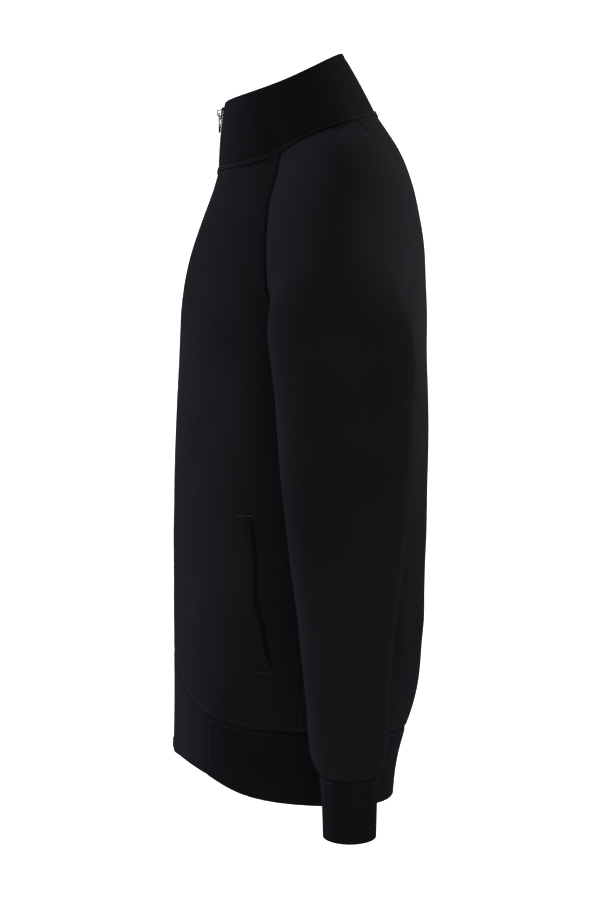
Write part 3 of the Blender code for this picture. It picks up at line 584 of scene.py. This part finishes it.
def sew(name, placings, finish, size=None, slot="plain_jersey"):
    """One mesh of many stitches, each set by (point, way along, way out).

    A stitch is a short bead of thread of this size, or a slightly flattened one of the seams' usual size.
    """
    s = sizes("stitches")
    bead = bmesh.new()
    bmesh.ops.create_uvsphere(bead, u_segments=6, v_segments=4, radius=0.5)
    bmesh.ops.rotate(bead, verts=bead.verts, matrix=Matrix.Rotation(math.pi / 2, 3, "Y"))
    bmesh.ops.scale(bead, verts=bead.verts, vec=size or (s.length, s.thickness, s.thickness * 0.8))
    template = mesh_from(bead, "stitch")
    bm = bmesh.new()
    for point, along, out in placings:
        along = along.normalized()
        across = out.cross(along).normalized()
        out = along.cross(across)
        place = Matrix((along, across, out)).transposed().to_4x4()
        place.translation = point
        template.transform(place)
        bm.from_mesh(template)
        template.transform(place.inverted())
    return new_piece(name, mesh_from(bm, name), finish, slot=slot)


def rows_beside(piece, runs, offset, at_zip=False):
    """Places of stitches on the piece's face, at an offset from its sewn edges, or from its edges at the zip.

    The way inward is tried out one probe's length from the edge, and turned where it leads off the cloth.
    """
    probe = 0.003
    s = sizes("stitches")
    mesh = piece.data
    tree = BVHTree.FromPolygons(coordinates(mesh).tolist(), [p.vertices[:] for p in mesh.polygons])
    co, normals = coordinates(mesh), vertex_normals(mesh)
    for run in runs:
        length = run[-1][1]
        alongs = [a for _, a, _ in run]
        verts = [v for v, _, _ in run]
        sewn = [n for _, _, n in run]
        for i in range(int(length / s.step)):
            at = (i + 0.5) * s.step
            k = min(int(np.searchsorted(alongs, at)), len(run) - 1)
            edges = (verts[k - 1], verts[k])
            if at_zip and any(sewn[j] or abs(co[v, 0]) > NEAR_ZIP for j, v in zip((k - 1, k), edges)):
                continue
            if not at_zip and not all(sewn[j] for j in (k - 1, k)):
                continue
            a, b = Vector(co[verts[k - 1]]), Vector(co[verts[k]])
            share = (at - alongs[k - 1]) / max(alongs[k] - alongs[k - 1], 1e-9)
            along = (b - a).normalized()
            normal = Vector(normals[verts[k]])
            inward = normal.cross(along)
            base = a.lerp(b, share)
            middle, _, _, _ = tree.find_nearest(base + inward * probe)
            if (middle - base).dot(inward) < probe / 2:
                inward = -inward
            hit, out, _, _ = tree.find_nearest(base + inward * offset)
            if hit is None or (hit - base).length < offset * 0.8:  # too near to the edge
                continue
            yield hit + out * (s.thickness * 0.25), along, out


# --- materials ---


def linear(hex_colour):
    """The linear colour of an sRGB hex value."""
    values = [int(hex_colour[i : i + 2], 16) / 255 for i in (0, 2, 4)]
    return [v / 12.92 if v <= 0.04045 else ((v + 0.055) / 1.055) ** 2.4 for v in values]


def add_node(tree, kind, settings=None, links=None, values=None):
    """Adds a shader node, with its settings, input links and input values."""
    made = tree.nodes.new(kind)
    for name, value in (settings or {}).items():
        setattr(made, name, value)
    for name, source in (links or {}).items():
        tree.links.new(source, made.inputs[name])
    for name, value in (values or {}).items():
        made.inputs[name].default_value = value
    return made


def new_material(name):
    made = bpy.data.materials.new(name)
    made.use_nodes = True
    return made, made.node_tree, made.node_tree.nodes["Principled BSDF"]


def set_shader(shader, **values):
    for name, value in values.items():
        shader.inputs[name.replace("_", " ")].default_value = value


def ramp(tree, source, low, high, dark, light):
    """A colour from dark to light as the source goes from low to high."""
    made = add_node(tree, "ShaderNodeValToRGB", links={"Fac": source})
    made.color_ramp.elements[0].position, made.color_ramp.elements[1].position = low, high
    made.color_ramp.elements[0].color = (*dark, 1)
    made.color_ramp.elements[1].color = (*light, 1)
    return made.outputs["Color"]


WAVE_PERIOD = 0.314159  # Blender's wave texture repeats this often, in its own units


def jersey_material(name, wale, course, shade):
    """Weft-knit jersey, piece-dyed near black: dull cotton-rich face in upright wales, with a little fuzz.

    The wales are drawn wider apart than in real cloth, so that they show at all in a render.
    """
    made, tree, shader = new_material(name)
    f = sizes("finishes")
    uv = add_node(tree, "ShaderNodeTexCoord").outputs["UV"]
    place = add_node(tree, "ShaderNodeTexCoord").outputs["Object"]
    wales = add_node(tree, "ShaderNodeTexWave", {"bands_direction": "X", "wave_profile": "SIN"},
                     {"Vector": uv}, {"Scale": WAVE_PERIOD / wale, "Distortion": 0.6, "Detail": 1.0})
    courses = add_node(tree, "ShaderNodeTexWave", {"bands_direction": "Y", "wave_profile": "SAW"},
                       {"Vector": uv}, {"Scale": WAVE_PERIOD / course, "Distortion": 0.8, "Detail": 1.0})
    loops = add_node(tree, "ShaderNodeMath", {"operation": "MULTIPLY"},
                     {0: wales.outputs["Fac"], 1: courses.outputs["Fac"]})
    fuzz = add_node(tree, "ShaderNodeTexNoise", None, {"Vector": place},
                    {"Scale": 900.0, "Detail": 3.0, "Roughness": 0.65})
    relief = add_node(tree, "ShaderNodeMath", {"operation": "MULTIPLY_ADD"},
                      {0: fuzz.outputs["Fac"], 2: loops.outputs[0]}, {1: 0.5})
    bump = add_node(tree, "ShaderNodeBump", None, {"Height": relief.outputs[0]},
                    {"Distance": f.bump, "Strength": 0.8})
    patches = add_node(tree, "ShaderNodeTexNoise", None, {"Vector": place},
                       {"Scale": 7.0, "Detail": 2.0, "Roughness": 0.5})
    blend = add_node(tree, "ShaderNodeMath", {"operation": "MULTIPLY_ADD"},
                     {0: fuzz.outputs["Fac"], 2: patches.outputs["Fac"]}, {1: 0.5})
    base = np.array(f.jersey[:]) * shade
    colour = ramp(tree, blend.outputs[0], 0.45, 1.05, base * 0.82, base * 1.2)
    tree.links.new(colour, shader.inputs["Base Color"])
    tree.links.new(bump.outputs[0], shader.inputs["Normal"])
    set_shader(shader, Roughness=1.0, Sheen_Weight=f.sheen, Sheen_Roughness=0.45, Specular_IOR_Level=0.0)
    shader.inputs["Sheen Tint"].default_value = (*linear("c9c5d4"), 1)
    return made


def fleece_material():
    """Brushed fleece, the raised inner side of the same knit: soft, deep and quite without gloss."""
    made, tree, shader = new_material("brushed_fleece_back")
    place = add_node(tree, "ShaderNodeTexCoord").outputs["Object"]
    pile = add_node(tree, "ShaderNodeTexNoise", None, {"Vector": place},
                    {"Scale": 420.0, "Detail": 4.0, "Roughness": 0.7, "Distortion": 0.6})
    colour = ramp(tree, pile.outputs["Fac"], 0.3, 0.75, linear("141216"), linear("26232a"))
    bump = add_node(tree, "ShaderNodeBump", None, {"Height": pile.outputs["Fac"]},
                    {"Distance": 0.0004, "Strength": 0.9})
    tree.links.new(colour, shader.inputs["Base Color"])
    tree.links.new(bump.outputs[0], shader.inputs["Normal"])
    set_shader(shader, Roughness=1.0, Sheen_Weight=0.03, Sheen_Roughness=0.6, Specular_IOR_Level=0.0)
    return made


def thread_material():
    """Spun polyester sewing thread: twisted plies with a faint gloss, a touch lighter than the cloth."""
    made, tree, shader = new_material("spun_polyester_thread")
    place = add_node(tree, "ShaderNodeTexCoord").outputs["Object"]
    ply = add_node(tree, "ShaderNodeTexNoise", None, {"Vector": place}, {"Scale": 1500.0, "Detail": 2.0})
    colour = ramp(tree, ply.outputs["Fac"], 0.35, 0.7, linear("19171b"), linear("201e22"))
    tree.links.new(colour, shader.inputs["Base Color"])
    set_shader(shader, Roughness=0.75, Specular_IOR_Level=0.25)
    return made


def tape_material():
    """Woven polyester zip tape: a tight herringbone with a dull silk gloss."""
    made, tree, shader = new_material("woven_herringbone_tape")
    place = add_node(tree, "ShaderNodeTexCoord").outputs["Object"]
    zigzag = add_node(tree, "ShaderNodeTexWave", {"bands_direction": "DIAGONAL", "wave_profile": "TRI"},
                      {"Vector": place}, {"Scale": WAVE_PERIOD / 0.0012, "Distortion": 0.4})
    colour = ramp(tree, zigzag.outputs["Fac"], 0.1, 0.9, linear("0f0e11"), linear("1c1a1f"))
    bump = add_node(tree, "ShaderNodeBump", None, {"Height": zigzag.outputs["Fac"]},
                    {"Distance": 0.00015, "Strength": 0.8})
    tree.links.new(colour, shader.inputs["Base Color"])
    tree.links.new(bump.outputs[0], shader.inputs["Normal"])
    set_shader(shader, Roughness=0.8, Specular_IOR_Level=0.1)
    return made


def coil_material():
    """Extruded nylon monofilament, wound to a coil and dyed black: smooth, with a narrow soft highlight."""
    made, tree, shader = new_material("extruded_nylon_coil")
    place = add_node(tree, "ShaderNodeTexCoord").outputs["Object"]
    streaks = add_node(tree, "ShaderNodeTexNoise", None, {"Vector": place}, {"Scale": 300.0, "Detail": 2.0})
    colour = ramp(tree, streaks.outputs["Fac"], 0.3, 0.7, linear("121114"), linear("1d1c20"))
    tree.links.new(colour, shader.inputs["Base Color"])
    set_shader(shader, Roughness=0.45, Specular_IOR_Level=0.2)
    return made


def nickel_material():
    """Zinc die casting with dark nickel plating: metallic, softly polished, with fine handling scratches."""
    made, tree, shader = new_material("dark_nickel_die_cast")
    place = add_node(tree, "ShaderNodeTexCoord").outputs["Object"]
    wear = add_node(tree, "ShaderNodeTexNoise", None, {"Vector": place},
                    {"Scale": 260.0, "Detail": 5.0, "Roughness": 0.7})
    colour = ramp(tree, wear.outputs["Fac"], 0.3, 0.75, linear("242327"), linear("3c3a40"))
    rough = add_node(tree, "ShaderNodeMapRange", None, {"Value": wear.outputs["Fac"]},
                     {"To Min": 0.24, "To Max": 0.46})
    bump = add_node(tree, "ShaderNodeBump", None, {"Height": wear.outputs["Fac"]},
                    {"Distance": 0.00004, "Strength": 0.5})
    tree.links.new(colour, shader.inputs["Base Color"])
    tree.links.new(rough.outputs[0], shader.inputs["Roughness"])
    tree.links.new(bump.outputs[0], shader.inputs["Normal"])
    set_shader(shader, Metallic=1.0)
    shader.inputs["Specular Tint"].default_value = (*linear("5a585f"), 1)
    return made


@cache
def finish(name):
    """Each material is made once, when the first piece asks for it."""
    makers = {
        "jersey": lambda: jersey_material("cotton_rich_fleece_jersey", 0.0016, 0.0021, 1.0),
        # The bands are the same jersey made darker: painted shade, standing in for the shade on the upright
        # collar; hem band and cuffs share it
        "band": lambda: jersey_material("folded_fleece_jersey", 0.0016, 0.0021, 0.78),
        "plain": lambda: jersey_material("plain_smooth_jersey", 0.0011, 0.0014, 1.0),
        "fleece": fleece_material,
        "thread": thread_material,
        "tape": tape_material,
        "coil": coil_material,
        "nickel": nickel_material,
    }
    return makers[name]()


# --- trims ---


def rounded_copy(node, name, material, bevel, slot="plain_jersey"):
    """A CAD trim with its edges rounded."""
    bm = welded(node)
    bmesh.ops.dissolve_limit(bm, angle_limit=math.radians(2), verts=bm.verts, edges=bm.edges)
    sharp = [e for e in bm.edges if len(e.link_faces) == 2 and e.calc_face_angle() > math.radians(35)]
    bmesh.ops.bevel(bm, geom=sharp, offset=bevel, offset_type="OFFSET", segments=3, profile=0.5,
                    affect="EDGES", material=-1, clamp_overlap=True)
    bmesh.ops.triangulate(bm, faces=bm.faces)
    piece = new_piece(name, mesh_from(bm, name), material, slot=slot)
    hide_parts(node)
    return piece


def bartack(centre, along, out, length, name, material):
    """A bar of close zigzag stitches that locks the end of a pocket's mouth."""
    across = out.cross(along).normalized()
    count = int(length / BAR_STEP)
    placings = []
    for i in range(count):
        point = centre + along * ((i / (count - 1) - 0.5) * length) + out * BAR_LIFT
        placings.append((point, across + along * (BAR_SLANT if i % 2 else -BAR_SLANT), out))
    return sew(name, placings, material, BAR_STITCH)


# --- operators ---


cut = {}  # the finished cloth pieces by node, each with its open edges


class SWEATSHIRT_OT_cloth(bpy.types.Operator):
    """Makes the cut pieces: fronts, back, sleeves, collar, hem and cuffs"""

    bl_idname = "sweatshirt.cloth"
    bl_label = "Cloth pieces"

    def execute(self, context):
        faces = {"fleece_knit": "jersey", "double_fleece_knit": "band", "plain_jersey": "plain"}
        for row in CLOTH:
            back = "fleece" if row["slot"] == "fleece_knit" else faces[row["slot"]]
            cut[row["node"]] = add_cloth(row, finish(faces[row["slot"]]), finish(back))
        return {"FINISHED"}


class SWEATSHIRT_OT_stitches(bpy.types.Operator):
    """Sews a row of stitches beside each seam"""

    bl_idname = "sweatshirt.stitches"
    bl_label = "Seam stitches"

    def execute(self, context):
        s = sizes("stitches")
        seams = ("front_left", "front_right", "back", "hem_band", "cuff_left", "cuff_right")
        beside_zip = ("front_left", "front_right", "collar")
        for kind, nodes, offset in (("stitches_", seams, s.offset), ("topstitching_", beside_zip, s.placket)):
            for node in nodes:
                places = list(rows_beside(*cut[node], offset, at_zip=nodes is beside_zip))
                if not places:
                    raise RuntimeError(f"{kind}{node} has no edge to run along")
                sew(kind + node, places, finish("thread"))
        return {"FINISHED"}


class SWEATSHIRT_OT_trims(bpy.types.Operator):
    """Makes the neck band, the pocket welts with their bartacks, and the chin guard"""

    bl_idname = "sweatshirt.trims"
    bl_label = "Neck band, pockets and chin guard"

    def execute(self, context):
        rounded_copy("neck_band", "neck_band_tape", finish("plain"), 0.0005)
        rounded_copy("chin_guard", "chin_guard_cloth", finish("plain"), 0.0003)
        for side in ("left", "right"):
            rounded_copy(f"pocket_welt_{side}", f"pocket_welt_{side}_cloth", finish("plain"), 0.0004)
            mouth = pocket_mouth(side)
            tree = BVHTree.FromObject(cut[f"front_{side}"][0], context.evaluated_depsgraph_get())
            for end, shift, length, lift in BARTACKS:
                tip = mouth[0] if end == "top" else mouth[-1]
                point, out, _, _ = tree.find_nearest(Vector(tip) + Vector((0, -BARTACK_FORWARD, shift)))
                along = Vector((0, 1, 0)).cross(out).cross(out)
                bartack(point + out * lift, along.normalized(), out, length,
                        f"bartack_{end}_{side}", finish("thread"))
        return {"FINISHED"}


class SWEATSHIRT_OT_zip(bpy.types.Operator):
    """Makes the row of interlocking coil turns and finishes the tapes, slider, pull tab and box"""

    bl_idname = "sweatshirt.zip"
    bl_label = "Zip"

    def execute(self, context):
        z = sizes("zip")
        co = coordinates(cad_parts["zip_chain"].data)
        right = co[co[:, 0] > 0]
        levels = np.unique(np.round(right[:, 2], 5))[::-1]
        front = np.array([right[np.abs(right[:, 2] - h) < 1e-4][:, 1].min() for h in levels])
        bm = bmesh.new()
        bmesh.ops.create_cube(bm, size=1.0)
        bmesh.ops.scale(bm, verts=bm.verts, vec=(z.tooth_width, TURN_DEPTH, z.tooth_step * TURN_SHARE))
        bmesh.ops.bevel(bm, geom=list(bm.edges), offset=TURN_EDGE, offset_type="OFFSET", segments=1,
                        profile=0.5, affect="EDGES", material=-1)
        tooth = mesh_from(bm, "coil_turn")
        teeth = bmesh.new()
        count = int((levels[0] - levels[-1]) / z.tooth_step)
        for i in range(count):
            height = levels[0] - (i + 0.5) * z.tooth_step
            y = float(np.interp(height, levels[::-1], front[::-1])) + TURN_INSET
            place = Matrix.Translation((TURN_ASIDE * (1 if i % 2 else -1), y, height))
            tooth.transform(place)
            teeth.from_mesh(tooth)
            tooth.transform(place.inverted())
        chain = new_piece("zip_coil", mesh_from(teeth, "zip_coil", smooth=False), finish("coil"),
                          slot="zip_metal")
        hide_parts("zip_chain")
        for node, material in (("zip_tape_left", "tape"), ("zip_tape_right", "tape"),
                               ("zip_slider", "nickel"), ("pull_tab", "nickel"), ("zip_box", "nickel")):
            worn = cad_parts[node]
            worn.data.materials.clear()
            worn.data.materials.append(finish(material))
        return {"FINISHED"}


class SWEATSHIRT_OT_sheets(bpy.types.Operator):
    """Goes over the cloth pieces and their trims, and changes nothing"""

    bl_idname = "sweatshirt.sheets"
    bl_label = "Cut sizes"

    def execute(self, context):
        trims = {"collar": ["neck_band_tape", "chin_guard_cloth"], "front_left": ["pocket_welt_left_cloth"],
                 "front_right": ["pocket_welt_right_cloth"]}
        for row in CLOTH:
            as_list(trims.get(row["node"], []))
        return {"FINISHED"}


class SWEATSHIRT_OT_stage(bpy.types.Operator):
    """Sets up the pale floor and backdrop, the soft lights and the camera"""

    bl_idname = "sweatshirt.stage"
    bl_label = "Studio stage"

    def execute(self, context):
        s, scene = sizes("stage"), context.scene
        bm = bmesh.new()
        verts = [bm.verts.new((SWEEP_NEAR, y, s.floor)) for y in (-SWEEP_HALF, SWEEP_HALF)]
        edge = bm.edges.new(verts)
        for move in ((-SWEEP_NEAR - s.backdrop + 0.5, 0, 0), *SWEEP_BENDS):
            grown = bmesh.ops.extrude_edge_only(bm, edges=[edge])["geom"]
            edge = next(g for g in grown if isinstance(g, bmesh.types.BMEdge))
            bmesh.ops.translate(bm, verts=edge.verts, vec=move)
        floor = bpy.data.objects.new("studio_sweep", mesh_from(bm, "studio_sweep"))
        scene.collection.objects.link(floor)
        paper, tree, shader = new_material("matt_paper_sweep")
        set_shader(shader, Roughness=0.9)
        shader.inputs["Base Color"].default_value = (0.9, 0.9, 0.9, 1)
        height = add_node(tree, "ShaderNodeSeparateXYZ",
                          links={"Vector": add_node(tree, "ShaderNodeTexCoord").outputs["Object"]})
        glow = add_node(tree, "ShaderNodeMapRange", None, {"Value": height.outputs["Z"]},
                        {"From Min": s.floor, "From Max": s.floor + GLOW_RISE, "To Max": 1.0})
        tree.links.new(glow.outputs[0], shader.inputs["Emission Strength"])
        shader.inputs["Emission Color"].default_value = (1, 1, 1, 1)
        floor.data.materials.append(paper)

        for name, place, size, colour in LAMPS:
            light = bpy.data.lights.new(name, "AREA")
            light.size = size
            light.energy = getattr(s, name)
            light.color = linear(colour)
            lamp = bpy.data.objects.new(name, light)
            lamp.location = place
            lamp.rotation_euler = (Vector(LAMPS_AIM) - Vector(place)).to_track_quat("-Z", "Y").to_euler()
            scene.collection.objects.link(lamp)
        beam = bpy.data.lights.new("shoulder_beam", "SPOT")
        beam.energy, beam.shadow_soft_size = s.beam, BEAM_SIZE
        beam.spot_size, beam.spot_blend = math.radians(BEAM_ANGLE), BEAM_BLEND
        lamp = bpy.data.objects.new("shoulder_beam", beam)
        lamp.location = BEAM_PLACE
        aim = Vector(BEAM_AIM) - lamp.location
        lamp.rotation_euler = aim.to_track_quat("-Z", "Y").to_euler()
        scene.collection.objects.link(lamp)
        world = bpy.data.worlds.new("studio")
        world.use_nodes = True
        world.node_tree.nodes["Background"].inputs["Color"].default_value = (1, 1, 1, 1)
        world.node_tree.nodes["Background"].inputs["Strength"].default_value = WORLD_STRENGTH
        scene.world = world

        camera = bpy.data.cameras.new("photo_view")
        camera.lens = s.lens
        camera.sensor_width = 36.0
        camera.clip_end = 50
        viewer = bpy.data.objects.new("photo_view", camera)
        viewer.location = CAMERA
        viewer.rotation_euler = (math.pi / 2, 0, math.pi / 2)
        scene.collection.objects.link(viewer)
        scene.camera = viewer
        scene.view_settings.view_transform = "Standard"
        return {"FINISHED"}


class SWEATSHIRT_PT_panel(bpy.types.Panel):
    """The sweatshirt's pieces, in the order in which they are made"""

    bl_label = "Sweatshirt"
    bl_idname = "SWEATSHIRT_PT_panel"
    bl_space_type = "VIEW_3D"
    bl_region_type = "UI"
    bl_category = "Sweatshirt"

    def draw(self, context):
        for name in GROUPS:
            box = self.layout.box()
            group = getattr(context.scene, "sweatshirt_" + name)
            for key in group.bl_rna.properties.keys():
                if key not in ("rna_type", "name"):
                    box.prop(group, key)
        for operator in OPERATORS:
            self.layout.operator(operator.bl_idname)


GROUPS = {"cloth": ClothSizes, "stitches": StitchSizes, "zip": ZipSizes, "finishes": Finishes,
          "stage": StageSizes}
OPERATORS = (SWEATSHIRT_OT_cloth, SWEATSHIRT_OT_stitches, SWEATSHIRT_OT_trims, SWEATSHIRT_OT_zip,
             SWEATSHIRT_OT_sheets, SWEATSHIRT_OT_stage)


def register():
    for made in (*GROUPS.values(), *OPERATORS, SWEATSHIRT_PT_panel):
        bpy.utils.register_class(made)
    for name, group in GROUPS.items():
        setattr(bpy.types.Scene, "sweatshirt_" + name, PointerProperty(type=group))


def unregister():
    for name in GROUPS:
        delattr(bpy.types.Scene, "sweatshirt_" + name)
    for made in (SWEATSHIRT_PT_panel, *reversed(OPERATORS), *GROUPS.values()):
        bpy.utils.unregister_class(made)


def main():
    register()
    bpy.ops.sweatshirt.cloth()
    bpy.ops.sweatshirt.stitches()
    bpy.ops.sweatshirt.trims()
    bpy.ops.sweatshirt.zip()
    bpy.ops.sweatshirt.sheets()
    bpy.ops.sweatshirt.stage()


if __name__ == "__main__":
    main()
